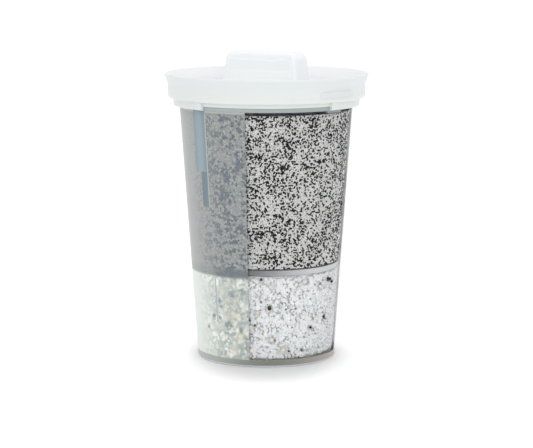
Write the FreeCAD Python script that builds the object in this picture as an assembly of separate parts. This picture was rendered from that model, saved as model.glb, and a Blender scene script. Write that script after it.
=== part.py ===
import FreeCAD
import Part
import math
import os

# Drop-in jug cartridge: a tapered cup, a collar lid with a grip, and two beds of granules on screens and pads.
# Millimetres. The origin is the middle of the cup's bottom, +Z is up, and the grip lies along X.

# Cup
cup_base_radius = 24.3
cup_top_radius = 30.75
cup_wall = 1.05
cup_foot_height = 0.5
cup_foot_width = 1.6
cup_floor = 1.0
cup_base_rounding = 0.4
cup_inner_rounding = 0.5

# Slots in the cup's floor
drain_slot_count = 16
drain_slot_width = 1.0
drain_slot_start = 7.0
drain_slot_length = 12.0

# The locking zones lie on opposite sides, and each repeats the ribs, gussets and lug beside it
zone_angles = (-63.0, 117.0)

# Ribs inside the cup's wall, a wide one and a long narrow one beside it, and a thin one in the lower chamber
rib_turn = -56.0
rib_wide_span = 11.6
rib_narrow_span = 4.9
rib_depth = 1.3
rib_wide_drop = 24.15
rib_narrow_drop = 36.35
low_rib_turn = -41.5
low_rib_span = 2.2
low_rib_depth = 0.6
low_rib_margin = 1.0

# Layers on the floor, from the bottom up
outlet_screen_thickness = 0.25
base_pad_thickness = 0.75
lower_bed_height = 29.5
divider_thickness = 2.1
divider_screen_thickness = 0.5
upper_bed_height = 53.6
top_pad_thickness = 3.25
inlet_screen_thickness = 0.4
wall_clearance = 0.15
rib_clearance = 0.15

# Divider plate
divider_edge_rounding = 0.6
divider_hole_diameter = 1.5
divider_hole_rings = 4
divider_hole_spacing = 5.0

# Collar lid
skirt_clearance = 0.15
skirt_wall = 1.7
skirt_drop = 2.75
skirt_draft = 0.25
skirt_rounding = 0.5
deck_thickness = 1.3
collar_radius = 34.7
collar_wall = 1.2
collar_height = 8.55
collar_rounding = 1.1
flare_height = 3.6
flare_spread = 1.3
flare_softness = 3.0
lip_thickness = 0.95
lip_rounding = 0.35
deck_corner = 1.2

# Gussets under the collar at both ends of each locking zone, with the skirt thinned between them
gusset_turn = 43.9
gusset_span = 4.8
gusset_reach = 1.1
gusset_drop = 2.3
skirt_thin_depth = 0.55
skirt_thin_height = 1.5

# Tongue that hangs from the skirt below one gusset of each zone
tongue_turn = 47.0
tongue_span = 12.4
tongue_depth = 0.9
tongue_drop = 0.8
tongue_root = 0.8

# Locking lugs on the collar
lug_turn = 32.4
lug_span = 24.5
lug_height = 2.0
lug_above_seat = 1.8
lug_proud = 0.7

# Slots in the deck
inlet_slot_count = 24
inlet_slot_width = 1.3
inlet_slot_start = 17.0
inlet_slot_length = 12.0

# Grip
grip_length = 30.1
grip_width = 13.1
grip_height = 14.6
grip_draft = 0.098
grip_wall = 1.4
grip_end_rounding = 3.0
grip_edge_rounding = 1.3

# Levels worked out from the sizes above: the cup is as high as its layers
floor_top = cup_foot_height + cup_floor
base_pad_bottom = floor_top + outlet_screen_thickness
lower_bed_bottom = base_pad_bottom + base_pad_thickness
divider_bottom = lower_bed_bottom + lower_bed_height
divider_screen_bottom = divider_bottom + divider_thickness
upper_bed_bottom = divider_screen_bottom + divider_screen_thickness
top_pad_bottom = upper_bed_bottom + upper_bed_height
inlet_screen_bottom = top_pad_bottom + top_pad_thickness
cup_height = inlet_screen_bottom + inlet_screen_thickness
cup_slope = (cup_top_radius - cup_base_radius) / cup_height
skirt_inner = cup_top_radius + skirt_clearance
skirt_outer = skirt_inner + skirt_wall
skirt_bottom = cup_height - skirt_drop
skirt_root = skirt_outer + skirt_draft
deck_top = cup_height + deck_thickness
rim_top = cup_height + collar_height

# How far cutters run past a face, and how near two points count as one
overcut = 1.0
touch = 1e-6
up = FreeCAD.Vector(0, 0, 1)
centre = FreeCAD.Vector(0, 0, 0)


def cup_radius(z):
    """Outer radius of the cup at a height."""
    return cup_base_radius + cup_slope * z


def inner_radius(z):
    """Radius of the cup's inner wall at a height."""
    return cup_radius(z) - cup_wall


def rounded_edges(corners):
    """Edges of a closed outline in the XZ plane. Each corner is (radius, height, rounding)."""
    stops = []
    count = len(corners)
    for i in range(count):
        r, z, rounding = corners[i]
        here = FreeCAD.Vector(r, 0, z)
        before = FreeCAD.Vector(corners[i - 1][0], 0, corners[i - 1][1]) - here
        after = FreeCAD.Vector(corners[(i + 1) % count][0], 0, corners[(i + 1) % count][1]) - here
        if rounding <= 0:
            stops.append((here, None, here))
            continue
        half = before.getAngle(after) / 2
        back = rounding / math.tan(half)
        start = here + before.normalize() * back
        end = here + after.normalize() * back
        inward = (before + after).normalize()
        middle = here + inward * (rounding / math.sin(half) - rounding)
        stops.append((start, middle, end))
    edges = []
    for i in range(count):
        start, middle, end = stops[i]
        if middle is not None:
            edges.append(Part.Arc(start, middle, end).toShape())
        following = stops[(i + 1) % count][0]
        if end.distanceToPoint(following) > touch:
            edges.append(Part.LineSegment(end, following).toShape())
    return edges


def turned(corners, first_angle=0.0, span=360.0):
    """Solid turned about the Z axis from an outline."""
    face = Part.Face(Part.Wire(rounded_edges(corners)))
    solid = face.revolve(centre, up, span)
    if first_angle:
        solid.rotate(centre, up, first_angle)
    return solid


def sector(inside, outside, bottom, top, middle_angle, span):
    """Piece of a plain ring between two angles."""
    corners = [(inside, bottom, 0), (outside, bottom, 0), (outside, top, 0), (inside, top, 0)]
    return turned(corners, middle_angle - span / 2, span)


def radial_slot(start, length, width, bottom, top, angle):
    """Round-ended cutter that runs outwards from the axis."""
    radius = width / 2
    height = top - bottom
    bar = Part.makeBox(length, width, height, FreeCAD.Vector(start, -radius, bottom))
    inner_end = Part.makeCylinder(radius, height, FreeCAD.Vector(start, 0, bottom))
    outer_end = Part.makeCylinder(radius, height, FreeCAD.Vector(start + length, 0, bottom))
    slot = bar.fuse([inner_end, outer_end]).removeSplitter()
    slot.rotate(centre, up, angle)
    return slot


def wall_rib(bottom, top, depth, first_angle, span):
    """Rib that stands in from the cup's tapered wall and is buried in half of it."""
    buried = cup_wall / 2
    corners = [
        (inner_radius(bottom) - depth, bottom, 0),
        (inner_radius(bottom) + buried, bottom, 0),
        (inner_radius(top) + buried, top, 0),
        (inner_radius(top) - depth, top, 0),
    ]
    return turned(corners, first_angle, span)


def upper_ribs(clearance):
    """Stepped ribs of the upper chamber, grown by a clearance for the pieces that fit round them."""
    ribs = []
    grown = math.degrees(clearance / inner_radius(top_pad_bottom))
    for zone in zone_angles:
        wide_start = zone + rib_turn
        narrow_start = wide_start + rib_wide_span - rib_narrow_span
        wide = wall_rib(
            cup_height - rib_wide_drop - clearance, cup_height, rib_depth + clearance,
            wide_start - grown, rib_wide_span + 2 * grown)
        narrow = wall_rib(
            cup_height - rib_narrow_drop - clearance, cup_height, rib_depth + clearance,
            narrow_start - grown, rib_narrow_span + 2 * grown)
        ribs.append(wide.fuse(narrow).removeSplitter())
    return ribs


def lower_ribs(clearance):
    """Thin ribs of the lower chamber, grown by a clearance."""
    grown = math.degrees(clearance / inner_radius(lower_bed_bottom))
    bottom = lower_bed_bottom + low_rib_margin - clearance
    top = divider_bottom - low_rib_margin + clearance
    start = low_rib_turn - low_rib_span / 2 - grown
    span = low_rib_span + 2 * grown
    return [wall_rib(bottom, top, low_rib_depth + clearance, zone + start, span) for zone in zone_angles]


def disc(bottom, thickness, clearance=wall_clearance):
    """Round layer that fits the tapered wall at its own height."""
    radius = inner_radius(bottom) - clearance
    return Part.makeCylinder(radius, thickness, FreeCAD.Vector(0, 0, bottom))


def bed(bottom, height):
    """Tapered filling of a chamber."""
    top = bottom + height
    return turned([
        (0, bottom, 0),
        (inner_radius(bottom) - wall_clearance, bottom, 0),
        (inner_radius(top) - wall_clearance, top, 0),
        (0, top, 0),
    ])


def make_cup():
    foot_inner = cup_base_radius - cup_foot_width
    shell = turned([
        (0, cup_foot_height, 0),
        (foot_inner, cup_foot_height, 0),
        (foot_inner, 0, 0),
        (cup_radius(0), 0, cup_base_rounding),
        (cup_radius(cup_height), cup_height, 0),
        (inner_radius(cup_height), cup_height, 0),
        (inner_radius(floor_top), floor_top, cup_inner_rounding),
        (0, floor_top, 0),
    ])
    shell = shell.fuse(upper_ribs(0) + lower_ribs(0)).removeSplitter()
    slots = [
        radial_slot(drain_slot_start, drain_slot_length, drain_slot_width, 0, floor_top + overcut,
                    i * 360.0 / drain_slot_count)
        for i in range(drain_slot_count)
    ]
    return shell.cut(slots)


def make_divider_plate():
    radius = inner_radius(divider_bottom) - wall_clearance
    plate = turned([
        (0, divider_bottom, 0),
        (radius, divider_bottom, divider_edge_rounding),
        (radius, divider_screen_bottom, 0),
        (0, divider_screen_bottom, 0),
    ])
    holes = []
    for ring in range(divider_hole_rings + 1):
        ring_radius = ring * divider_hole_spacing
        count = max(1, round(2 * math.pi * ring))
        for i in range(count):
            turn = 2 * math.pi * i / count
            place = FreeCAD.Vector(
                ring_radius * math.cos(turn), ring_radius * math.sin(turn), divider_bottom - overcut)
            holes.append(Part.makeCylinder(divider_hole_diameter / 2, divider_thickness + 2 * overcut, place))
    return plate.cut(holes)


def drafted_face(width, bottom, top, corner):
    """Face in the XZ plane that narrows upwards, with its two upper corners rounded."""
    half = width / 2
    narrowed = half - grip_draft * (top - bottom)
    outline = [(-half, bottom, 0), (half, bottom, 0), (narrowed, top, corner), (-narrowed, top, corner)]
    return Part.Face(Part.Wire(rounded_edges(outline)))


def grip_block(inset, bottom, top):
    """Drafted block of the grip, made smaller by an inset on every side, with rounded upper ends."""
    length = grip_length - 2 * inset
    width = grip_width - 2 * inset
    along = drafted_face(length, bottom, top, grip_end_rounding - inset)
    along.translate(FreeCAD.Vector(0, -width, 0))
    across = drafted_face(width, bottom, top, 0)
    across.rotate(centre, up, 90)
    across.translate(FreeCAD.Vector(-length, 0, 0))
    slab = along.extrude(FreeCAD.Vector(0, 2 * width, 0))
    return slab.common(across.extrude(FreeCAD.Vector(2 * length, 0, 0)))


def rounded_grip(block, bottom):
    """The block with the outlines of its two long faces rounded."""
    outlines = [
        edge for edge in block.Edges
        if edge.Vertexes[0].Y * edge.Vertexes[-1].Y > 0 and edge.BoundBox.ZMax > bottom + touch
    ]
    return block.makeFillet(grip_edge_rounding, outlines)


def make_lug(start):
    """Low round-ended lug on the collar's wall."""
    inside = collar_radius - collar_wall / 2
    outside = collar_radius + lug_proud
    bottom = cup_height + lug_above_seat
    radius = lug_height / 2
    end_turn = math.degrees(radius / collar_radius)
    band = sector(inside, outside, bottom, bottom + lug_height, start + lug_span / 2, lug_span - 2 * end_turn)
    ring = sector(inside, outside, bottom, bottom + lug_height, start + lug_span / 2, lug_span + 2 * end_turn)
    ends = []
    for angle in (start + end_turn, start + lug_span - end_turn):
        along = FreeCAD.Vector(math.cos(math.radians(angle)), math.sin(math.radians(angle)), 0)
        place = along * (inside - overcut) + FreeCAD.Vector(0, 0, bottom + radius)
        ends.append(Part.makeCylinder(radius, outside - inside + 2 * overcut, place, along).common(ring))
    return band.fuse(ends).removeSplitter()


def make_collar_lid():
    flare_start = rim_top - flare_height
    lip = collar_radius + flare_spread
    inner_wall = collar_radius - collar_wall
    lid = turned([
        (0, cup_height, 0),
        (skirt_inner, cup_height, 0),
        (skirt_inner, skirt_bottom, 0),
        (skirt_outer, skirt_bottom, skirt_rounding),
        (skirt_root, cup_height, 0),
        (collar_radius, cup_height, collar_rounding),
        (collar_radius, flare_start, flare_softness),
        (lip, rim_top, lip_rounding),
        (lip - lip_thickness, rim_top, lip_rounding),
        (inner_wall, flare_start, flare_softness),
        (inner_wall, deck_top, deck_corner),
        (0, deck_top, 0),
    ])
    cutters = []
    between_gussets = 2 * gusset_turn - gusset_span
    for zone in zone_angles:
        cutters.append(sector(
            skirt_outer - skirt_thin_depth, skirt_outer + overcut, skirt_bottom - overcut,
            skirt_bottom + skirt_thin_height, zone, between_gussets))
    for i in range(inlet_slot_count):
        cutters.append(radial_slot(
            inlet_slot_start, inlet_slot_length, inlet_slot_width, cup_height - overcut, deck_top + overcut,
            (i + 0.5) * 360.0 / inlet_slot_count))
    lid = lid.cut(cutters)
    added = [rounded_grip(grip_block(0, cup_height, deck_top + grip_height), cup_height)]
    for zone in zone_angles:
        for turn in (-gusset_turn, gusset_turn):
            added.append(sector(
                skirt_outer - skirt_wall / 2, skirt_outer + gusset_reach, cup_height - gusset_drop,
                cup_height + deck_thickness / 2, zone + turn, gusset_span))
        added.append(sector(
            skirt_inner, skirt_inner + tongue_depth, skirt_bottom - tongue_drop, skirt_bottom + tongue_root,
            zone + tongue_turn, tongue_span))
        added.append(make_lug(zone + lug_turn))
    lid = lid.fuse(added).removeSplitter()
    return lid.cut(grip_block(grip_wall, cup_height - overcut, deck_top + grip_height - grip_wall))


def make_top_pad():
    return disc(top_pad_bottom, top_pad_thickness).cut(upper_ribs(rib_clearance))


def make_inlet_screen():
    return disc(inlet_screen_bottom, inlet_screen_thickness).cut(upper_ribs(rib_clearance))


pieces = {
    "cup": make_cup(),
    "collar_lid": make_collar_lid(),
    "inlet_screen": make_inlet_screen(),
    "top_pad": make_top_pad(),
    "upper_bed": bed(upper_bed_bottom, upper_bed_height).cut(upper_ribs(rib_clearance)),
    "divider_screen": disc(divider_screen_bottom, divider_screen_thickness),
    "divider_plate": make_divider_plate(),
    "lower_bed": bed(lower_bed_bottom, lower_bed_height).cut(lower_ribs(rib_clearance)),
    "base_pad": disc(base_pad_bottom, base_pad_thickness),
    "outlet_screen": disc(floor_top, outlet_screen_thickness, wall_clearance + cup_inner_rounding),
}

os.makedirs("parts", exist_ok=True)
for name, shape in pieces.items():
    shape.exportStep(os.path.join("parts", name + ".step"))
    print(name, len(shape.Solids), shape.isValid(), round(shape.Volume, 1), shape.BoundBox)
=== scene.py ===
import math
import random
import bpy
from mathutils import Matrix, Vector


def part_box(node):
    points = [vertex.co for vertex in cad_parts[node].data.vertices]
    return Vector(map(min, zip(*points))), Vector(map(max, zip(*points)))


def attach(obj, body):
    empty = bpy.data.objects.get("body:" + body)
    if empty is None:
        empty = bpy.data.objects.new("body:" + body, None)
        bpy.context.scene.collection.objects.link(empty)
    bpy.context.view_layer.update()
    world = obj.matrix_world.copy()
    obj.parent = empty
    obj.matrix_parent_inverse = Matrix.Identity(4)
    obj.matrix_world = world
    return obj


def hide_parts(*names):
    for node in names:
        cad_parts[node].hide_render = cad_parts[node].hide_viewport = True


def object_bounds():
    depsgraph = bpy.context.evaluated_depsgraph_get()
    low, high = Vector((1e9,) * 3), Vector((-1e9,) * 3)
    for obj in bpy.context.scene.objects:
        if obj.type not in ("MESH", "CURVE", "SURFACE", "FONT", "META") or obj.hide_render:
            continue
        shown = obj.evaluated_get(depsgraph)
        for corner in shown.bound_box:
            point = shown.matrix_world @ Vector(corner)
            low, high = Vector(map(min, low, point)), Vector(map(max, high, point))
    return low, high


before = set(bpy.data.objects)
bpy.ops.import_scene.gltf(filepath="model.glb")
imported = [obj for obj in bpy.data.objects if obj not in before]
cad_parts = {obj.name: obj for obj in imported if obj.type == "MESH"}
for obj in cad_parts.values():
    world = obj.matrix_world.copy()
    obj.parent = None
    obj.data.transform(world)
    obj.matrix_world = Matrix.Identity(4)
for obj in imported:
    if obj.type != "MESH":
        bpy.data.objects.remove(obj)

from types import SimpleNamespace

import bpy
import bmesh
from mathutils import Euler, Matrix, Vector, noise

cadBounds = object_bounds()

# angles on the cup are counted from the middle of its clear zone, which faces the camera
zoneMiddle = math.radians(-63)


def tone(red, green, blue):  # a colour as it looks on screen, 0 to 255
    levels = []
    for level in (red / 255, green / 255, blue / 255):
        levels.append(level / 12.92 if level <= 0.04045 else ((level + 0.055) / 1.055) ** 2.4)
    return (*levels, 1)


def grey(level):  # a plain grey as the renderer counts it, 0 to 1
    return (level, level, level, 1)


# shader nodes
def put(tree, kind, inputs=None, **settings):  # a shader node with its settings, values and links
    made = tree.nodes.new("ShaderNode" + kind)
    for key, value in settings.items():
        setattr(made, key, value)
    for key, value in (inputs or {}).items():
        if isinstance(value, bpy.types.NodeSocket):
            tree.links.new(value, made.inputs[key])
        else:
            made.inputs[key].default_value = value
    return made


def newMaterial(name):
    material = bpy.data.materials.new(name)
    material.use_nodes = True
    material.node_tree.nodes.clear()
    return material, material.node_tree


def showShader(tree, shader):
    put(tree, "OutputMaterial", {"Surface": shader.outputs[0]})


def mixColour(tree, factor, first, second):
    return put(tree, "Mix", {0: factor, 6: first, 7: second}, data_type="RGBA").outputs[2]


def rise(tree, value, low, high, first=0.0, last=1.0):  # a soft step from first to last
    steps = {"Value": value, "From Min": low, "From Max": high, "To Min": first, "To Max": last}
    return put(tree, "MapRange", steps, interpolation_type="SMOOTHSTEP").outputs[0]


def sums(tree, operation, first, second=0.0):
    return put(tree, "Math", {0: first, 1: second}, operation=operation).outputs[0]


def cloud(tree, spot, size, detail=0.0):  # smooth noise whose lumps are about size across
    lumps = {"Vector": spot, "Scale": 1 / size, "Detail": detail, "Roughness": 0.5}
    return put(tree, "TexNoise", lumps).outputs[0]


def bumped(tree, height, distance, strength=1.0):
    relief = {"Height": height, "Distance": distance, "Strength": strength}
    return put(tree, "Bump", relief).outputs[0]


def softlyBumped(tree, spot, size, detail, distance, strength):
    return bumped(tree, cloud(tree, spot, size, detail), distance, strength)


def objectSpot(tree):
    return put(tree, "TexCoord").outputs["Object"]


def cupFrame(tree):  # the place on the cup, turned so that +X runs through the clear zone's middle
    spot = objectSpot(tree)
    turned = put(tree, "Mapping", {"Vector": spot, "Rotation": (0, 0, -zoneMiddle)}).outputs[0]
    parts = put(tree, "SeparateXYZ", {0: turned})
    flat = put(tree, "CombineXYZ", {"X": parts.outputs["X"], "Y": parts.outputs["Y"]}).outputs[0]
    radius = put(tree, "VectorMath", {0: flat}, operation="LENGTH").outputs["Value"]
    across = sums(tree, "DIVIDE", parts.outputs["Y"], radius)  # -1 at the left edge, 1 at the right one
    towards = sums(tree, "ABSOLUTE", sums(tree, "DIVIDE", parts.outputs["X"], radius))  # 1 in the middle
    height = parts.outputs["Z"]
    return SimpleNamespace(spot=spot, height=height, radius=radius, across=across, towards=towards)


# meshes
def makeObject(name, bm, materials, smooth=True, sharpest=None):
    for face in bm.faces:
        face.smooth = smooth
    if sharpest is not None:
        for edge in bm.edges:
            edge.smooth = edge.calc_face_angle(math.pi) < sharpest
    mesh = bpy.data.meshes.new(name)
    bm.to_mesh(mesh)
    bm.free()
    for material in materials:
        mesh.materials.append(material)
    made = bpy.data.objects.new(name, mesh)
    bpy.context.scene.collection.objects.link(made)
    return made


def standFor(piece, node):
    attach(piece, "root")
    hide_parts(node)
    print("made", piece.name, len(piece.data.polygons), "faces")


def dress(node, material):  # a CAD piece that only needs its material
    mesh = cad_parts[node].data
    mesh.materials.clear()
    mesh.materials.append(material)


def copyOfNode(node):  # the node's triangles, joined into one skin
    bm = bmesh.new()
    bm.from_mesh(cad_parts[node].data)
    bmesh.ops.remove_doubles(bm, verts=bm.verts, dist=1e-6)
    return bm


def spunDisc(corners, steps):  # a solid of revolution from its radii and heights, axis to axis
    bm = bmesh.new()
    verts = [bm.verts.new((radius, 0, z)) for radius, z in corners]
    edges = [bm.edges.new(pair) for pair in zip(verts, verts[1:])]
    bmesh.ops.spin(bm, geom=verts + edges, cent=(0, 0, 0), axis=(0, 0, 1), angle=2 * math.pi,
                   steps=steps, use_merge=True)
    bmesh.ops.remove_doubles(bm, verts=bm.verts, dist=1e-7)
    bmesh.ops.recalc_face_normals(bm, faces=bm.faces)
    return bm


def placeAround(angle, reach, z):
    return Vector((math.cos(angle) * reach, math.sin(angle) * reach, z))


# heights and the taper come from the beds in the frame
def levels(node):
    low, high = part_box(node)
    return low.z, high.z


seat = levels("cup")[1]
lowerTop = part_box("lower_bed")[1]
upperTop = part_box("upper_bed")[1]
taper = (upperTop.x - lowerTop.x) / (upperTop.z - lowerTop.z)
dividerLow, dividerHigh = levels("divider_plate")
bedFloor = levels("lower_bed")[0]


def bedRadius(z):
    return lowerTop.x + taper * (z - lowerTop.z)


# the camera stands where the photograph was taken from
view = {
    "distance": 0.7176,
    "height": 0.1551,
    "turn": math.radians(27),
    "pitch": math.radians(8.6),
    "lens": 138.2,
}


def addCamera():
    data = bpy.data.cameras.new("camera")
    data.lens = view["lens"]
    camera = bpy.data.objects.new("camera", data)
    camera.location = (
        view["distance"] * math.sin(view["turn"]),
        -view["distance"] * math.cos(view["turn"]),
        view["height"],
    )
    camera.rotation_euler = (math.pi / 2 - view["pitch"], 0, view["turn"])
    bpy.context.scene.collection.objects.link(camera)
    bpy.context.scene.camera = camera


studio = {
    "worldLight": 0.96,
    "lamps": {  # place, size across and power
        "overhead": ((-0.10, 0.12, 0.85), 0.55, 0.5),
        "fill": ((0.55, -0.80, 0.45), 0.7, 1.4),
    },
    "lampAim": (0, 0, 0.05),
    # the floor's tone near the cup is a painted shadow; its reach and squash follow below
    "paintedShadowFloor": 0.80,
    "floorTone": 0.94,
    "floorGlow": 0.19,
    "paintedShadowReach": (0.031, 0.058),
    "paintedShadowSquash": 1.75,
    "floorReach": 3.0,
    "floorDrop": 0.00005,
}


def seenDirectly(tree):  # 1 for camera, glossy and transmission rays
    path = put(tree, "LightPath")
    seen = sums(tree, "MAXIMUM", path.outputs["Is Camera Ray"], path.outputs["Is Glossy Ray"])
    return sums(tree, "MAXIMUM", seen, path.outputs["Is Transmission Ray"])


def addLamp(name, place, size, power):
    data = bpy.data.lights.new(name, "AREA")
    data.shape = "DISK"
    data.size = size
    data.energy = power
    lamp = bpy.data.objects.new(name, data)
    lamp.location = place
    aim = Vector(studio["lampAim"]) - Vector(place)
    lamp.rotation_euler = aim.to_track_quat("-Z", "Y").to_euler()
    bpy.context.scene.collection.objects.link(lamp)


def addWorld():
    scene = bpy.context.scene
    scene.view_settings.view_transform = "Standard"
    world = bpy.data.worlds.new("studio")
    scene.world = world
    world.use_nodes = True
    tree = world.node_tree
    light = mixColour(tree, seenDirectly(tree), grey(studio["worldLight"]), grey(1))
    tree.links.new(light, tree.nodes["Background"].inputs["Color"])
    for name, (place, size, power) in studio["lamps"].items():
        addLamp(name, place, size, power)


def addFloor():
    bm = bmesh.new()
    bmesh.ops.create_grid(bm, x_segments=1, y_segments=1, size=studio["floorReach"])
    bmesh.ops.translate(bm, verts=bm.verts, vec=(0, 0, -studio["floorDrop"]))
    material, tree = newMaterial("floorPaper")
    turned = {"Vector": objectSpot(tree), "Rotation": (0, 0, -zoneMiddle)}
    turned = put(tree, "Mapping", turned).outputs[0]
    squash = (1, studio["paintedShadowSquash"], 1)  # the painted shadow is short at the sides and long in front
    squashed = put(tree, "VectorMath", {0: turned, 1: squash}, operation="MULTIPLY").outputs[0]
    away = put(tree, "VectorMath", {0: squashed}, operation="LENGTH").outputs["Value"]
    # near the cup the floor is painted darker and loses its glow: a painted shadow
    clear = rise(tree, away, *studio["paintedShadowReach"])
    paper = mixColour(tree, clear, grey(studio["paintedShadowFloor"]), grey(studio["floorTone"]))
    paper = put(tree, "BsdfDiffuse", {"Color": paper})
    glow = sums(tree, "MULTIPLY", clear, studio["floorGlow"])
    glow = put(tree, "Emission", {"Strength": sums(tree, "MULTIPLY", seenDirectly(tree), glow)})
    showShader(tree, put(tree, "AddShader", {0: paper.outputs[0], 1: glow.outputs[0]}))
    floor = makeObject("floor", bm, [material])


# angles in degrees from the middle of the clear zone, and drops in metres from the cup's top edge;
# here and below, pairs and fours named From or Turn say where a tone changes and how strongly
cup = {
    "bedGap": 0.00015,
    "wall": 0.00105,
    "clearZone": (-13.9, 112.0),
    "wideRib": (-56.0, -44.4),
    "narrowRib": (-49.3, -44.4),
    "ribShown": -50.5,
    "wideDrop": 0.02415,
    "narrowDrop": 0.03635,
    "ribDepth": 0.0013,
    "ribMargin": 1.0,
    "ribClearance": 0.0004,
    "glint": (-44.4, -43.6),
    "lowShade": (-42.6, -41.5),
    "lowGlint": (-41.5, -40.4),
    "lowMargin": 0.001,
    "shadeFoot": 0.0150,
    "glintTop": 0.0275,
    "sharpEdge": math.radians(32),
    "clearTone": tone(246, 247, 249),
    "clearRoughness": 0.16,
    "edgeIndex": 1.35,
    "edgeOn": (0.27, 0.45, 0.004, 0.9),
    "innerTone": tone(232, 235, 236),
    "innerDensity": 0.004,
    "innerRoughness": 0.3,
    # the foot of the wall, left, middle and right: felt colour and painted shade
    "baseLeft": tone(180, 188, 179),
    "baseMiddle": tone(135, 138, 129),
    "baseRight": tone(172, 166, 160),
    "baseTurns": ((-0.95, 0.0), (0.1, 0.95)),
    "baseDensity": 0.94,
    "baseRoughness": 0.3,
    "footLine": tone(222, 225, 232),
    "footLineTop": (0.0004, 0.0007),
    "stripeTurns": ((0.55, 0.62), (0.65, 0.71)),
    "wideTones": (tone(134, 148, 153), tone(146, 165, 176), tone(130, 149, 153)),
    "narrowTones": (tone(114, 130, 137), tone(114, 130, 137), tone(118, 134, 143)),
    "glintTone": tone(182, 188, 181),
    "lowShadeTone": tone(182, 196, 199),
    "lowGlintTone": tone(218, 222, 217),
    "stripeDensity": 0.97,
    "lowDensity": 0.8,
    "stripeRoughness": 0.4,
}


def veil(tree, colour, density, roughness, normal=None):  # cloudy plastic, which hides what lies behind it
    values = {"Base Color": colour, "Roughness": roughness}
    if normal is not None:
        values["Normal"] = normal
    milk = put(tree, "BsdfPrincipled", values)
    through = put(tree, "BsdfTransparent")
    return put(tree, "MixShader", {0: density, 1: through.outputs[0], 2: milk.outputs[0]})


# the beds as they show through the frosting; marks: angle in degrees from the clear zone's middle,
# height and size in millimetres
frost = {
    "shown": (0.30, 0.95),
    "density": 0.93,
    "roughness": 0.42,
    "relief": (0.0006, 1.0, 0.00004, 0.5),
    "upperGrain": 0.00080,
    "upperBlur": 0.35,
    "upperPatch": 0.0030,
    "patchStrength": 2.2,
    # beads and black beads: lit middle first, then the painted shade at the rim
    "bead": (tone(180, 180, 176), tone(148, 151, 151)),
    "blackBead": (tone(72, 86, 98), tone(108, 118, 125)),
    "beadShadeTurn": (0.10, 0.60),
    "blackFrom": (0.48, 0.80, 0.0, 0.92),
    "upperEdge": (tone(199, 201, 199), tone(174, 177, 176)),
    "edgeTurn": (0.0, 0.36),
    "chipGrain": 0.00170,
    "fineGrain": 0.00095,
    "chipBlur": 0.20,
    "warp": 0.00022,
    "chipLevels": (0.2, 0.8),
    "bigChip": (tone(252, 252, 242), tone(182, 192, 188)),
    "chipGapShade": tone(158, 170, 170),
    "gapShadeFrom": (0.40, 0.75, 0.0, 0.5),
    "smallChip": (tone(246, 247, 238), tone(142, 156, 155)),
    "finePatch": 0.0030,
    "fineFrom": (0.42, 0.58),
    "fineStrength": 0.8,
    "tintPatch": 0.0040,
    "dim": tone(168, 178, 176),
    "dimFrom": (0.46, 0.62, 0.0, 0.5),
    "warm": tone(226, 220, 200),
    "warmFrom": (0.52, 0.68, 0.0, 0.35),
    "lowerShade": tone(150, 160, 155),
    "shadeFrom": (0.84, 0.97, 0.0, 0.25),
    "lowerEdge": (tone(242, 245, 241), tone(231, 237, 233)),
    "edgePatch": 0.0022,
    "bedEnd": (-0.0010, -0.0002),
    "band": tone(112, 121, 126),
    "bandFrom": (0.60, 0.93, 0.15, 0.95),
    "bandBottom": (-0.0017, 0.0006),
    "bandTop": (-0.0008, 0.0014),
    "rim": tone(206, 207, 203),
    "rimFrom": (-0.0002, 0.0004),
    "markStrength": 0.85,
    "markGrain": 0.0009,
    "markRagged": 0.0012,
    "markSpread": (0.3, 0.6),
    "creamMark": tone(236, 226, 200),
    "creamMarks": [
        (-22.6, 18.1, 1.3), (-18.0, 20.2, 1.1), (-26.1, 14.4, 1.2), (-21.0, 10.7, 1.4), (-17.5, 12.6, 1.1),
    ],
    "blueMark": tone(126, 145, 158),
    "blueMarks": [
        (-33.2, 14.4, 1.4), (-31.0, 15.0, 1.5), (-28.8, 14.2, 1.2), (-39.8, 16.8, 1.2), (-20.3, 13.0, 1.4),
        (-38.9, 22.8, 1.4), (-53.0, 12.6, 1.2), (-45.5, 17.1, 1.3), (-37.2, 20.6, 1.1), (-27.2, 25.0, 1.1),
    ],
}


def blurredGrains(tree, spot, spacing, blur):  # each grain's own random level, its neighbours run into it
    cells = {"Vector": spot, "Scale": 1 / spacing, "Smoothness": blur}
    grains = put(tree, "TexVoronoi", cells, feature="SMOOTH_F1")
    level = put(tree, "SeparateColor", {0: grains.outputs["Color"]}).outputs[0]
    return level, grains.outputs["Distance"]


def warped(tree, spot, reach):  # the place, pushed about a little so that grains lose their round outlines
    wander = put(tree, "TexNoise", {"Vector": spot, "Scale": 0.5 / reach, "Detail": 2.0}).outputs["Color"]
    wander = put(tree, "VectorMath", {0: wander, 1: (0.5, 0.5, 0.5)}, operation="SUBTRACT").outputs[0]
    wander = put(tree, "VectorMath", {0: wander, "Scale": 2 * reach}, operation="SCALE").outputs[0]
    return put(tree, "VectorMath", {0: spot, 1: wander}).outputs[0]


def smudged(tree, colour, spot, places, shade):  # soft marks at the given angles and heights
    marks = None
    for angle, z, size in places:
        centre = placeAround(math.radians(angle) + zoneMiddle, bedRadius(z / 1000) + cup["wall"], z / 1000)
        away = put(tree, "VectorMath", {0: spot, 1: centre}, operation="DISTANCE").outputs["Value"]
        ragged = sums(tree, "MULTIPLY", cloud(tree, spot, frost["markGrain"], 1.0), frost["markRagged"])
        ragged = sums(tree, "ADD", away, ragged)
        near = (0.5 * size + frost["markSpread"][0]) / 1000
        far = (size + frost["markSpread"][1]) / 1000
        mark = rise(tree, ragged, near, far, frost["markStrength"], 0.0)
        marks = mark if marks is None else sums(tree, "MAXIMUM", marks, mark)
    return mixColour(tree, marks, colour, shade)


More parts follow.
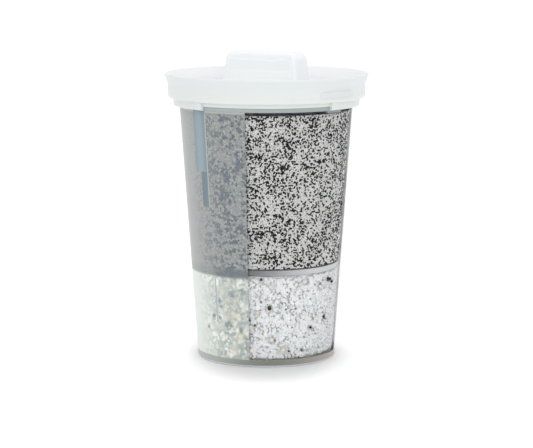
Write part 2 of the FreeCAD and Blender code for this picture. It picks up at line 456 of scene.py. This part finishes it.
def frostedBeads(tree, at):
    level, distance = blurredGrains(tree, at.spot, frost["upperGrain"], frost["upperBlur"])
    patch = sums(tree, "SUBTRACT", cloud(tree, at.spot, frost["upperPatch"], 3.0), 0.5)
    level = sums(tree, "ADD", level, sums(tree, "MULTIPLY", patch, frost["patchStrength"]))
    # each bead seen through the frosting is painted lighter in its middle and darker at its rim: painted
    # shade
    fromCentre = rise(tree, distance, *frost["beadShadeTurn"])
    bead = mixColour(tree, fromCentre, *frost["bead"])
    blackBead = mixColour(tree, fromCentre, *frost["blackBead"])
    return mixColour(tree, rise(tree, level, *frost["blackFrom"]), bead, blackBead)


def frostedChips(tree, spot, towards):  # white chips and small ones between them, with painted shade in the gaps between chips and towards the clear zone
    bigLevel, fromBig = blurredGrains(tree, spot, frost["chipGrain"], frost["chipBlur"])
    big = mixColour(tree, rise(tree, bigLevel, *frost["chipLevels"]), *frost["bigChip"])
    big = mixColour(tree, rise(tree, fromBig, *frost["gapShadeFrom"]), big, frost["chipGapShade"])
    smallLevel = blurredGrains(tree, spot, frost["fineGrain"], frost["chipBlur"])[0]
    small = mixColour(tree, rise(tree, smallLevel, *frost["chipLevels"]), *frost["smallChip"])
    patch = rise(tree, cloud(tree, spot, frost["finePatch"], 2.0), *frost["fineFrom"])
    chips = mixColour(tree, sums(tree, "MULTIPLY", patch, frost["fineStrength"]), big, small)
    dim = rise(tree, cloud(tree, spot, frost["tintPatch"], 2.0), *frost["dimFrom"])
    chips = mixColour(tree, dim, chips, frost["dim"])
    warm = rise(tree, cloud(tree, spot, frost["tintPatch"], 2.0), *frost["warmFrom"])
    chips = mixColour(tree, warm, chips, frost["warm"])
    return mixColour(tree, rise(tree, towards, *frost["shadeFrom"]), chips, frost["lowerShade"])


def aroundLevel(level, reach):
    return level + reach[0], level + reach[1]


def frostedWall():  # the beds show in the middle and fade into the milky plastic towards the edges
    material, tree = newMaterial("frostedWall")
    at = cupFrame(tree)
    shows = rise(tree, at.towards, *frost["shown"])
    beads = frostedBeads(tree, at)
    edge = mixColour(tree, rise(tree, at.towards, *frost["edgeTurn"]), *frost["upperEdge"])
    upper = mixColour(tree, shows, edge, beads)

    chips = frostedChips(tree, warped(tree, at.spot, frost["warp"]), at.towards)
    chips = smudged(tree, chips, at.spot, frost["creamMarks"], frost["creamMark"])
    pale = mixColour(tree, cloud(tree, at.spot, frost["edgePatch"], 2.0), *frost["lowerEdge"])
    lower = mixColour(tree, shows, pale, chips)
    lower = smudged(tree, lower, at.spot, frost["blueMarks"], frost["blueMark"])

    aboveBed = rise(tree, at.height, *aroundLevel(dividerLow, frost["bedEnd"]))
    colour = mixColour(tree, aboveBed, lower, upper)
    # the divider shows through the frosting as a dark band: painted shade
    bandBottom = rise(tree, at.height, *aroundLevel(dividerLow, frost["bandBottom"]))
    bandTop = rise(tree, at.height, *aroundLevel(dividerHigh, frost["bandTop"]), 1.0, 0.0)
    band = sums(tree, "MULTIPLY", bandBottom, bandTop)
    band = sums(tree, "MULTIPLY", band, rise(tree, at.towards, *frost["bandFrom"]))
    colour = mixColour(tree, band, colour, frost["band"])
    rim = rise(tree, at.height, *aroundLevel(upperTop.z, frost["rimFrom"]))
    colour = mixColour(tree, rim, colour, frost["rim"])
    relief = softlyBumped(tree, at.spot, *frost["relief"])
    showShader(tree, veil(tree, colour, frost["density"], frost["roughness"], relief))
    return material


def clearWall():
    material, tree = newMaterial("clearWall")
    edge = put(tree, "Fresnel", {"IOR": cup["edgeIndex"]}).outputs[0]  # a clear wall is whitish end on
    density = rise(tree, edge, *cup["edgeOn"])
    showShader(tree, veil(tree, cup["clearTone"], density, cup["clearRoughness"]))
    return material


def innerWall():
    material, tree = newMaterial("innerWall")
    showShader(tree, veil(tree, cup["innerTone"], cup["innerDensity"], cup["innerRoughness"]))
    return material


def baseWall():  # the foot of the wall is painted dark, darkest in the middle: the felt behind it and painted shade under the bed; a pale line runs below
    material, tree = newMaterial("baseWall")
    at = cupFrame(tree)
    firstTurn, secondTurn = cup["baseTurns"]
    left = mixColour(tree, rise(tree, at.across, *firstTurn), cup["baseLeft"], cup["baseMiddle"])
    colour = mixColour(tree, rise(tree, at.across, *secondTurn), left, cup["baseRight"])
    colour = mixColour(tree, rise(tree, at.height, *cup["footLineTop"], 1.0, 0.0), colour, cup["footLine"])
    showShader(tree, veil(tree, colour, cup["baseDensity"], cup["baseRoughness"]))
    return material


def stripePlastic(name, tones, density):  # tones from left to right
    material, tree = newMaterial(name)
    left, middle, right = tones
    firstTurn, secondTurn = cup["stripeTurns"]
    towards = cupFrame(tree).towards
    colour = mixColour(tree, rise(tree, towards, *firstTurn), left, middle)
    colour = mixColour(tree, rise(tree, towards, *secondTurn), colour, right)
    showShader(tree, veil(tree, colour, density, cup["stripeRoughness"]))
    return material


def cupMaterials():
    full, low = cup["stripeDensity"], cup["lowDensity"]
    return {
        "frosted": frostedWall(),
        "clear": clearWall(),
        "inside": innerWall(),
        "base": baseWall(),
        "wide": stripePlastic("wideStripe", cup["wideTones"], full),
        "narrow": stripePlastic("narrowStripe", cup["narrowTones"], full),
        "glint": stripePlastic("glintStripe", [cup["glintTone"]] * 3, full),
        "lowShade": stripePlastic("lowShade", [cup["lowShadeTone"]] * 3, low),
        "lowGlint": stripePlastic("lowGlint", [cup["lowGlintTone"]] * 3, low),
    }


def cupStripes():  # material, angles and heights of each stripe on the outer wall
    wideFoot = seat - cup["wideDrop"]
    narrowFoot = seat - cup["narrowDrop"]
    ribEnd = cup["narrowRib"][1]
    lowFrom, lowTo = bedFloor + cup["lowMargin"], dividerLow - cup["lowMargin"]
    return [
        ("wide", cup["wideRib"][0], ribEnd, wideFoot, seat),
        ("narrow", cup["ribShown"], ribEnd, narrowFoot, wideFoot),
        ("glint", *cup["glint"], narrowFoot, seat),
        ("lowShade", *cup["lowShade"], cup["shadeFoot"], lowTo),
        ("lowGlint", *cup["lowGlint"], lowFrom, cup["glintTop"]),
    ]


def nearSide(angle):  # the far side repeats the near one, half a turn round
    return (angle + 90) % 180 - 90


def cupArea(spot, normal, stripes):  # which of the cup's materials a face gets
    radius = spot.xy.length
    wall = bedRadius(spot.z) + cup["bedGap"]
    outward = normal.xy.dot(spot.xy) > 0.5 * radius
    if spot.z < bedFloor and (outward or normal.z < -0.3):
        return "base"
    if radius < wall + 0.5 * cup["wall"] or not outward:
        return "inside"
    angle = (math.degrees(math.atan2(spot.y, spot.x) - zoneMiddle) + 180) % 360 - 180
    if cup["clearZone"][0] < angle < cup["clearZone"][1]:
        return "clear"
    for name, start, stop, low, high in stripes:
        if start < nearSide(angle) < stop and low < spot.z < high:
            return name
    return "frosted"


def cutThrough(bm, spot, normal):
    everything = bm.verts[:] + bm.edges[:] + bm.faces[:]
    bmesh.ops.bisect_plane(bm, geom=everything, dist=1e-7, plane_co=spot, plane_no=normal)


def makeCup():  # the wall is cut where its look changes
    bm = copyOfNode("cup")
    stripes = cupStripes()
    angles = set(cup["clearZone"])
    heights = {bedFloor}
    for _, start, stop, low, high in stripes:
        angles |= {start, stop}
        heights |= {low, high}
    for angle in sorted(angles):
        turn = math.radians(angle) + zoneMiddle
        cutThrough(bm, (0, 0, 0), (-math.sin(turn), math.cos(turn), 0))
    for height in sorted(heights - {seat}):
        cutThrough(bm, (0, 0, height), (0, 0, 1))
    materials = cupMaterials()
    order = list(materials)
    for face in bm.faces:
        face.material_index = order.index(cupArea(face.calc_center_median(), face.normal, stripes))
    piece = makeObject("clearCup", bm, materials.values(), sharpest=cup["sharpEdge"])
    standFor(piece, "cup")


lid = {
    "grip": tone(239, 242, 244),
    "gripHollow": tone(237, 241, 243),
    "gripLow": tone(241, 244, 243),
    "gripLowFrom": (0.003, 0.009),
    "gripLine": tone(247, 249, 248),
    "endCloser": 0.0012,
    "gripHalf": 0.01505,
    "gripDraft": 0.098,
    "gripReach": (0.0170, 0.0180),
    "hollowInset": 0.0026,
    "hollowRound": 0.0025,
    "hollowEdge": 0.0006,
    "wanderSize": 0.0045,
    "wander": 0.0022,
    "lineWidth": (0.0001, 0.0004),
    "linePatch": 0.0060,
    "lineBroken": (0.35, 0.65, 0.1, 0.7),
    "lineFade": (0.003, 0.008, 1.0, 0.3),
    "faintLine": 0.45,
    "lineHeights": (0.1013, 0.0982),
    "lineTilt": 0.0012,
    "lineInset": (0.0012, 0.0024),
    # the collar's inside, painted paler than its outside: painted light
    "inside": tone(239, 240, 242),
    "collarInside": (0.0338, 0.0343),
    "outwardFrom": (0.0, 0.004),
    "collarLow": tone(223, 227, 225),
    "collarHigh": tone(223, 227, 228),
    "collarBand": (0.0962, 0.0966),
    "lug": tone(218, 222, 223),
    "lugReach": (0.0349, 0.0351),
    "lugTop": (0.0962, 0.0968),
    "foot": tone(226, 230, 228),
    "footBand": (0.0925, 0.0935),
    "skirt": tone(221, 226, 224),
    "skirtRadius": 0.0325,
    "thinRadius": 0.03215,
    "thinLeft": tone(172, 179, 180),
    "thinRight": tone(166, 174, 175),
    "thinTurn": (-0.5, 0.2),
    "thinFoot": tone(126, 132, 135),
    "thinShade": (0.0884, 0.0898, 0.75, 0.0),
    "seatEdge": (-0.0002, 0.0002),
    "cloudSize": 0.02,
    "cloudShade": grey(0.7),
    "cloudFrom": (0.3, 0.7, 0.97, 1.0),
    "relief": (0.0005, 1.0, 0.00003, 0.4),
    "roughness": 0.36,
    "glow": 0.25,
    "glowDepth": 0.0012,
}


def gripTones(tree, spot, height):  # the hollow inside the grip shows as a paler outline and two faint lines
    parts = put(tree, "SeparateXYZ", {0: spot})
    lowered = sums(tree, "SUBTRACT", height, seat)
    end = sums(tree, "SUBTRACT", lid["gripHalf"], sums(tree, "MULTIPLY", lowered, lid["gripDraft"]))
    fromEnd = sums(tree, "SUBTRACT", end, sums(tree, "ABSOLUTE", parts.outputs["X"]))
    fromTop = sums(tree, "SUBTRACT", cadBounds[1][2], height)
    fromEnd = sums(tree, "ADD", fromEnd, lid["endCloser"])
    inset = {0: fromEnd, 1: fromTop, 2: lid["hollowRound"]}
    inset = put(tree, "Math", inset, operation="SMOOTH_MIN").outputs[0]
    wander = sums(tree, "SUBTRACT", cloud(tree, spot, lid["wanderSize"], 2.0), 0.5)
    inset = sums(tree, "ADD", inset, sums(tree, "MULTIPLY", wander, lid["wander"]))
    edge = lid["hollowInset"]
    hollow = mixColour(tree, rise(tree, fromTop, *lid["gripLowFrom"]), lid["gripHollow"], lid["gripLow"])
    colour = mixColour(tree, rise(tree, inset, edge, edge + lid["hollowEdge"]), lid["grip"], hollow)
    line = sums(tree, "ABSOLUTE", sums(tree, "SUBTRACT", inset, edge))
    shown = rise(tree, line, *lid["lineWidth"], 1.0, 0.0)
    broken = rise(tree, cloud(tree, spot, lid["linePatch"], 1.0), *lid["lineBroken"])
    shown = sums(tree, "MULTIPLY", shown, broken)
    shown = sums(tree, "MULTIPLY", shown, rise(tree, fromTop, *lid["lineFade"]))
    within = rise(tree, inset, *aroundLevel(edge, lid["lineInset"]))
    for place in lid["lineHeights"]:
        tilted = sums(tree, "SUBTRACT", height, sums(tree, "MULTIPLY", wander, lid["lineTilt"]))
        away = sums(tree, "ABSOLUTE", sums(tree, "SUBTRACT", tilted, place))
        faint = sums(tree, "MULTIPLY", rise(tree, away, *lid["lineWidth"], lid["faintLine"], 0.0), within)
        shown = sums(tree, "MAXIMUM", shown, faint)
    return mixColour(tree, shown, colour, lid["gripLine"])


def collarTones(tree, at):  # the collar inside and out, its lugs and the line at its foot; the inside is painted paler than the outside: painted light
    normal = put(tree, "TexCoord").outputs["Normal"]
    outward = put(tree, "VectorMath", {0: at.spot, 1: (1, 1, 0)}, operation="MULTIPLY").outputs[0]
    facing = put(tree, "VectorMath", {0: normal, 1: outward}, operation="DOT_PRODUCT").outputs["Value"]
    collar = mixColour(tree, rise(tree, at.height, *lid["collarBand"]), lid["collarLow"], lid["collarHigh"])
    collar = mixColour(tree, rise(tree, at.height, *lid["footBand"]), lid["foot"], collar)
    onLug = rise(tree, at.height, *lid["lugTop"], 1.0, 0.0)
    onLug = sums(tree, "MULTIPLY", onLug, rise(tree, at.radius, *lid["lugReach"]))
    collar = mixColour(tree, onLug, collar, lid["lug"])
    outside = rise(tree, at.radius, *lid["collarInside"])
    outside = sums(tree, "MULTIPLY", outside, rise(tree, facing, *lid["outwardFrom"]))
    return mixColour(tree, outside, lid["inside"], collar)


def skirtTones(tree, at):  # the skirt and the thin ring below it; the ring is painted grey, from the foam behind its thin wall and painted shade under the collar, darkest at its foot
    thin = mixColour(tree, rise(tree, at.across, *lid["thinTurn"]), lid["thinLeft"], lid["thinRight"])
    thin = mixColour(tree, rise(tree, at.height, *lid["thinShade"]), thin, lid["thinFoot"])
    onSkirt = rise(tree, at.radius, lid["thinRadius"], lid["skirtRadius"])
    return mixColour(tree, onSkirt, thin, lid["skirt"])


def collarPlastic():
    material, tree = newMaterial("collarPlastic")
    at = cupFrame(tree)
    collar = collarTones(tree, at)
    grip = gripTones(tree, at.spot, at.height)
    plastic = mixColour(tree, rise(tree, at.radius, *lid["gripReach"]), grip, collar)
    below = rise(tree, at.height, *aroundLevel(seat, lid["seatEdge"]), 1.0, 0.0)
    colour = mixColour(tree, below, plastic, skirtTones(tree, at))
    clouds = rise(tree, cloud(tree, at.spot, lid["cloudSize"], 2.0), *lid["cloudFrom"])
    colour = mixColour(tree, clouds, lid["cloudShade"], colour)
    relief = softlyBumped(tree, at.spot, *lid["relief"])
    showShader(tree, put(tree, "BsdfPrincipled", {
        "Base Color": colour,
        "Roughness": lid["roughness"],
        "Normal": relief,
        "Subsurface Weight": lid["glow"],
        "Subsurface Radius": (1, 1, 1),
        "Subsurface Scale": lid["glowDepth"],
    }))
    return material


screen = {
    "pitch": 0.0005,
    "depth": 0.00005,
    "threadFrom": (0.35, 0.7),
    "holeShade": 0.4,
    "roughness": 0.5,
    "pale": tone(222, 226, 226),
    "dark": tone(84, 84, 86),
}


def screenMesh(name, thread):
    material, tree = newMaterial(name)
    spot = objectSpot(tree)
    lines = []
    for direction in ("X", "Y"):
        wave = {"Vector": spot, "Scale": 1 / (10 * screen["pitch"])}
        lines.append(put(tree, "TexWave", wave, wave_type="BANDS", bands_direction=direction).outputs["Fac"])
    weave = sums(tree, "MAXIMUM", lines[0], lines[1])
    hole = (*[screen["holeShade"] * level for level in thread[:3]], 1)
    colour = mixColour(tree, rise(tree, weave, *screen["threadFrom"]), hole, thread)
    relief = bumped(tree, weave, screen["depth"])
    values = {"Base Color": colour, "Roughness": screen["roughness"], "Normal": relief}
    showShader(tree, put(tree, "BsdfPrincipled", values))
    return material


divider = {
    "shaded": tone(114, 115, 116),
    "lit": tone(236, 237, 238),
    "turnsLight": (-0.40, 0.95),
    "relief": (0.0008, 2.0, 0.00003, 0.4),
    "roughness": 0.35,
}


def dividerPlastic():
    material, tree = newMaterial("dividerPlastic")
    at = cupFrame(tree)
    colour = mixColour(tree, rise(tree, at.across, *divider["turnsLight"]), divider["shaded"], divider["lit"])
    relief = softlyBumped(tree, at.spot, *divider["relief"])
    values = {"Base Color": colour, "Roughness": divider["roughness"], "Normal": relief}
    showShader(tree, put(tree, "BsdfPrincipled", values))
    return material


def ribReach(angle, z):  # how far a rib stands into the bed at this place
    half = nearSide(math.degrees(angle - zoneMiddle))
    for rib, drop in (("wideRib", "wideDrop"), ("narrowRib", "narrowDrop")):
        beside = cup[rib][0] - cup["ribMargin"] < half < cup[rib][1] + cup["ribMargin"]
        if beside and z > seat - cup[drop] - cup["ribClearance"]:
            return cup["ribDepth"] + cup["bedGap"]
    return 0.0


pad = {
    "steps": 180,
    "rimAngle": 1,
    "sharpEdge": math.radians(60),
    "lightFrom": (0.05, 0.45),
    "roughness": 0.9,
    "sheen": 0.3,
}
foam = {
    "rounding": 0.0007,
    "cell": 0.0009,
    "ragged": 0.00012,
    "dark": tone(34, 41, 51),
    "light": tone(76, 85, 98),
}
felt = {
    "rounding": 0.0002,
    "cell": 0.0006,
    "ragged": 0.00003,
    "dark": tone(150, 150, 142),
    "light": tone(186, 186, 178),
}


def padMaterial(name, look):
    material, tree = newMaterial(name)
    spot = objectSpot(tree)
    cells = put(tree, "TexVoronoi", {"Vector": spot, "Scale": 1 / look["cell"]}).outputs["Distance"]
    fuzz = cloud(tree, spot, look["cell"] / 2, 3.0)
    shade = rise(tree, sums(tree, "MULTIPLY", cells, fuzz), *pad["lightFrom"])
    colour = mixColour(tree, shade, look["dark"], look["light"])
    relief = bumped(tree, cells, look["cell"] / 4)
    values = {"Base Color": colour, "Roughness": pad["roughness"], "Normal": relief}
    showShader(tree, put(tree, "BsdfPrincipled", values | {"Sheen Weight": pad["sheen"]}))
    return material


def makePad(name, node, look):
    low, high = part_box(node)
    radius = high.x
    bm = spunDisc([(0, low.z), (radius, low.z), (radius, high.z), (0, high.z)], pad["steps"])
    rims = [edge for edge in bm.edges if edge.calc_face_angle(0) > pad["rimAngle"]]
    bmesh.ops.bevel(bm, geom=rims, offset=look["rounding"], offset_type="OFFSET", affect="EDGES", segments=4,
                    profile=0.5, material=-1)
    for vert in bm.verts:  # the rim is a little ragged and makes room for the ribs
        if vert.co.xy.length > radius / 2:
            outward = Vector((vert.co.x, vert.co.y, 0)).normalized()
            ragged = noise.noise(vert.co / look["cell"]) * look["ragged"] - look["ragged"]
            vert.co += outward * (ragged - ribReach(math.atan2(vert.co.y, vert.co.x), vert.co.z))
    piece = makeObject(name, bm, [padMaterial(name + "Fuzz", look)], sharpest=pad["sharpEdge"])
    standFor(piece, node)


# the outer grains of both beds are made one by one, in front of a packing
grain = {
    "lightFrom": (0.3, 0.7),
    "packingSteps": 128,
    "width": (0.8, 1),
    "thickness": (0.7, 1),
    "brokenSize": 1.35,
    "brokenUneven": 0.3,
}


def grainMaterial(name, dark, light, patch, roughness, relief=0.0):
    material, tree = newMaterial(name)
    spot = objectSpot(tree)
    shade = rise(tree, cloud(tree, spot, patch, 1.0), *grain["lightFrom"])
    colour = mixColour(tree, shade, dark, light)
    values = {"Base Color": colour, "Roughness": roughness}
    if relief:
        values["Normal"] = bumped(tree, cloud(tree, spot, patch / 3, 2.0), relief)
    showShader(tree, put(tree, "BsdfPrincipled", values))
    return material


def ringSpots(low, high, spacing, rowStep, jitter, dice):  # rows of angles and heights round a bed
    rows = []
    z = low + spacing * 0.5  # the first and the last row stay about half a spacing inside the bed
    odd = 0.0
    while z < high - spacing * 0.4:
        count = round(2 * math.pi * bedRadius(z) / spacing)
        row = []
        for i in range(count):
            angle = 2 * math.pi * (i + odd + dice.uniform(-jitter, jitter)) / count
            row.append((angle, z + dice.uniform(-jitter, jitter) * spacing))
        rows.append(row)
        odd = 0.5 - odd
        z += spacing * rowStep
    return rows


def anyTurn(dice):
    return Euler([dice.uniform(0, 2 * math.pi) for _ in range(3)]).to_matrix().to_4x4()


def roughen(verts, size, uneven, dice):
    for vert in verts:
        vert.co += Vector([dice.uniform(-1, 1) for _ in range(3)]) * size * uneven


def pressFlat(verts):  # what would reach past the wall's inside lies flat against it
    for vert in verts:
        limit = bedRadius(vert.co.z) + cup["bedGap"] / 2
        reach = vert.co.xy.length
        if reach > limit:
            vert.co.xy = vert.co.xy * (limit / reach)


def addGrain(bm, place, size, uneven, dice, look=0):  # a rounded grain
    turn = anyTurn(dice)
    shape = Matrix.Diagonal((1, dice.uniform(*grain["width"]), dice.uniform(*grain["thickness"]), 1))
    made = bmesh.ops.create_icosphere(bm, subdivisions=1, radius=size,
                                      matrix=Matrix.Translation(place) @ turn @ shape)
    roughen(made["verts"], size, uneven, dice)
    for vert in made["verts"]:
        for face in vert.link_faces:
            face.material_index = look
    pressFlat(made["verts"])


def addBlackGrain(bm, place, size, dice):  # a broken cube
    made = bmesh.ops.create_cube(bm, size=grain["brokenSize"] * size,
                                 matrix=Matrix.Translation(place) @ anyTurn(dice))
    roughen(made["verts"], size, grain["brokenUneven"], dice)
    pressFlat(made["verts"])


def joinRow(whole, row):
    mesh = bpy.data.meshes.new("row")
    row.to_mesh(mesh)
    whole.from_mesh(mesh)
    row.free()
    bpy.data.meshes.remove(mesh)


def bedCore(inset, low, high):  # the bed behind its outer grains
    lowRadius, highRadius = bedRadius(low) - inset, bedRadius(high) - inset
    corners = [(0, low), (lowRadius, low), (highRadius, high), (0, high)]
    return spunDisc(corners, grain["packingSteps"])


# a look is a dark and a light tone, the size of their patches, roughness and relief
upperBed = {
    "settled": 0.0004,
    "spacing": 0.00056,
    "rowStep": 0.86,
    "jitter": 0.24,
    "paleSize": 0.00034,
    "blackSize": 0.00035,
    "sizeSpread": 0.14,
    "uneven": 0.06,
    "pressed": 0.5,
    "depthSpread": 0.0001,
    "blackOut": 0.00006,
    "blackShare": 0.28,
    "patchSize": 0.0045,
    "patchStrength": 0.26,
    "coreInset": 0.00055,
    "paleLook": (tone(253, 252, 250), tone(255, 255, 255), 0.0011, 0.3),
    "blackLook": (tone(2, 2, 3), tone(18, 18, 21), 0.0009, 0.6),
    # the grey packing: the black grains deeper in the bed, and painted shade in the gaps between the beads
    "packingLook": (tone(140, 136, 132), tone(224, 221, 216), 0.0007, 0.8, 0.0002),
    "lots": 4,
    "seed": 11,
}


def makeUpperBed():
    dice = random.Random(upperBed["seed"])
    low, high = levels("upper_bed")
    high -= upperBed["settled"]
    pale = [bmesh.new() for _ in range(upperBed["lots"])]
    black = bmesh.new()
    for spots in ringSpots(low, high, upperBed["spacing"], upperBed["rowStep"], upperBed["jitter"], dice):
        paleRow, blackRow = bmesh.new(), bmesh.new()
        for angle, z in spots:
            outward = Vector((math.cos(angle), math.sin(angle), 0))
            lump = noise.noise((outward * bedRadius(z) + Vector((0, 0, z))) / upperBed["patchSize"])
            isBlack = dice.random() < upperBed["blackShare"] + upperBed["patchStrength"] * lump
            size = upperBed["blackSize"] if isBlack else upperBed["paleSize"]
            size *= 1 + dice.uniform(-1, 1) * upperBed["sizeSpread"]
            reach = bedRadius(z) - upperBed["pressed"] * size - dice.uniform(0, upperBed["depthSpread"])
            reach -= ribReach(angle, z)
            reach += upperBed["blackOut"] if isBlack else 0.0
            place = outward * reach + Vector((0, 0, z))
            if isBlack:
                addBlackGrain(blackRow, place, size, dice)
            else:
                addGrain(paleRow, place, size, upperBed["uneven"], dice)
        share = (spots[0][1] - low) / (high - low)
        joinRow(pale[min(int(share * len(pale)), len(pale) - 1)], paleRow)
        joinRow(black, blackRow)
    paleBead = grainMaterial("paleBead", *upperBed["paleLook"])
    blackGrain = grainMaterial("blackGrain", *upperBed["blackLook"])
    packing = grainMaterial("darkPacking", *upperBed["packingLook"])
    for i, lot in enumerate(pale):
        standFor(makeObject(f"paleBeads{i + 1}", lot, [paleBead]), "upper_bed")
    standFor(makeObject("blackGrains", black, [blackGrain], smooth=False), "upper_bed")
    core = bedCore(upperBed["coreInset"], low, high)
    core = makeObject("upperPacking", core, [packing], sharpest=cup["sharpEdge"])
    standFor(core, "upper_bed")


# strays: angle in degrees from the clear zone's middle, height and size in millimetres
lowerBed = {
    "spacing": 0.00142,
    "rowStep": 0.78,
    "jitter": 0.30,
    "chipSize": 0.00094,
    "sizeSpread": 0.32,
    "uneven": 0.17,
    "pressed": 0.56,
    "depthSpread": 0.0003,
    "chipMix": (0.5, 0.3, 0.2),
    "creamShare": 0.012,
    "darkShare": 0.004,
    "darkScale": 0.6,
    "fineShare": 1.0,
    "fineSize": 0.00042,
    "fineSpread": (0.7, 1.3),
    "speckShare": 0.05,
    "coreInset": 0.0012,
    "strayPressed": 0.6,
    "strayUneven": 0.18,
    "chipRoom": 0.75,
    "fineRoom": 0.5,
    "creamStrays": [
        (14.1, 5.7, 1.0), (4.4, 9.4, 0.8), (32.0, 29.6, 0.9), (24.5, 28.8, 0.9), (3.4, 28.3, 0.8),
        (48.8, 27.1, 0.8), (27.5, 16.5, 0.9), (43.2, 16.9, 0.7), (-7.3, 19.2, 0.7), (-6.6, 14.5, 0.8),
    ],
    "darkStrays": [
        (2.2, 20.8, 0.85), (57.1, 15.6, 0.75), (40.2, 12.9, 0.6), (-9.5, 14.6, 0.45), (-4.3, 31.0, 0.6),
        (31.9, 5.2, 0.5), (19.5, 5.3, 0.4), (60.0, 29.3, 0.6), (64.0, 28.7, 0.7), (68.0, 27.6, 0.6),
    ],
    "seed": 23,
}
lowerLooks = {
    "whiteMineral": (tone(250, 252, 254), tone(255, 255, 255), 0.0012, 0.36),
    "paleMineral": (tone(246, 249, 251), tone(253, 254, 255), 0.0012, 0.36),
    "greyMineral": (tone(232, 237, 240), tone(246, 249, 251), 0.0012, 0.36),
    "whiteFines": (tone(248, 248, 247), tone(255, 255, 255), 0.0012, 0.5),
    "creamMineral": (tone(255, 250, 236), tone(255, 254, 249), 0.0016, 0.45),
    "darkMineral": (tone(26, 27, 32), tone(66, 64, 62), 0.0012, 0.5),
    "brownMineral": (tone(92, 80, 68), tone(176, 166, 152), 0.0010, 0.6),
    "palePacking": (tone(230, 228, 224), tone(255, 255, 255), 0.0009, 0.8, 0.0003),
}


def againstWall(angle, z, size, dice):  # where a grain of this size lies against the wall
    reach = bedRadius(z) - lowerBed["pressed"] * size - dice.uniform(0, lowerBed["depthSpread"])
    return placeAround(angle, reach, z)


def addStrays(beds, dice):  # the single grains that stand out in the photograph
    strays = []
    for name in ("cream", "dark"):
        for angle, z, size in lowerBed[name + "Strays"]:
            reach = bedRadius(z / 1000) - lowerBed["strayPressed"] * size / 1000
            place = placeAround(math.radians(angle) + zoneMiddle, reach, z / 1000)
            strays.append((place, size / 1000))
            addGrain(beds[name], place, size / 1000, lowerBed["strayUneven"], dice)
    return strays


def isFree(place, room, strays):
    return all((place - stray).length >= reach + room for stray, reach in strays)


def addChips(beds, spots, low, high, strays, dice):
    row = bmesh.new()
    for angle, z in spots:
        size = lowerBed["chipSize"] * (1 + dice.uniform(-1, 1) * lowerBed["sizeSpread"])
        place = againstWall(angle, min(max(z, low + size), high - size), size, dice)
        lot = dice.random()
        if not isFree(place, lowerBed["chipRoom"] * size, strays):
            continue
        if lot < lowerBed["darkShare"]:
            addGrain(beds["dark"], place, size * lowerBed["darkScale"], lowerBed["uneven"], dice)
        elif lot < lowerBed["darkShare"] + lowerBed["creamShare"]:
            addGrain(beds["cream"], place, size, lowerBed["uneven"], dice)
        else:
            look = dice.choices((0, 1, 2), lowerBed["chipMix"])[0]
            addGrain(row, place, size, lowerBed["uneven"], dice, look)
    joinRow(beds["chips"], row)


def addFines(beds, spots, low, high, strays, dice):
    fineRow, speckRow = bmesh.new(), bmesh.new()
    for _ in range(round(len(spots) * lowerBed["fineShare"])):
        angle = dice.uniform(0, 2 * math.pi)
        size = lowerBed["fineSize"] * dice.uniform(*lowerBed["fineSpread"])
        z = spots[0][1] + dice.uniform(-1, 1) * lowerBed["spacing"]
        place = againstWall(angle, min(max(z, low + size), high - size), size, dice)
        if isFree(place, lowerBed["fineRoom"] * size, strays):
            isSpeck = dice.random() < lowerBed["speckShare"]
            addGrain(speckRow if isSpeck else fineRow, place, size, lowerBed["uneven"], dice)
    joinRow(beds["fines"], fineRow)
    joinRow(beds["specks"], speckRow)


def makeLowerBed():
    dice = random.Random(lowerBed["seed"])
    low, high = levels("lower_bed")
    beds = {name: bmesh.new() for name in ("chips", "fines", "cream", "dark", "specks")}
    strays = addStrays(beds, dice)
    for spots in ringSpots(low, high, lowerBed["spacing"], lowerBed["rowStep"], lowerBed["jitter"], dice):
        addChips(beds, spots, low, high, strays, dice)
        addFines(beds, spots, low, high, strays, dice)
    looks = {name: grainMaterial(name, *look) for name, look in lowerLooks.items()}
    for name, bed, *minerals in (
        ("whiteChips", "chips", "whiteMineral", "paleMineral", "greyMineral"),
        ("whiteFines", "fines", "whiteFines"),
        ("creamChips", "cream", "creamMineral"),
        ("darkChips", "dark", "darkMineral"),
        ("brownSpecks", "specks", "brownMineral"),
    ):
        piece = makeObject(name, beds[bed], [looks[mineral] for mineral in minerals], smooth=False)
        standFor(piece, "lower_bed")
    core = bedCore(lowerBed["coreInset"], low, high)
    core = makeObject("lowerPacking", core, [looks["palePacking"]], sharpest=cup["sharpEdge"])
    standFor(core, "lower_bed")


addCamera()
addWorld()
addFloor()
print("studio ready")
makeCup()
dress("collar_lid", collarPlastic())
paleMesh = screenMesh("paleMesh", screen["pale"])
dress("inlet_screen", paleMesh)
dress("outlet_screen", paleMesh)
# the divider's screen is painted dark: grey mesh, and painted shade in the seam above the divider
dress("divider_screen", screenMesh("darkMesh", screen["dark"]))
dress("divider_plate", dividerPlastic())
print("lid, screens and divider dressed")
makePad("foamPad", "top_pad", foam)
makePad("feltPad", "base_pad", felt)
makeUpperBed()
makeLowerBed()
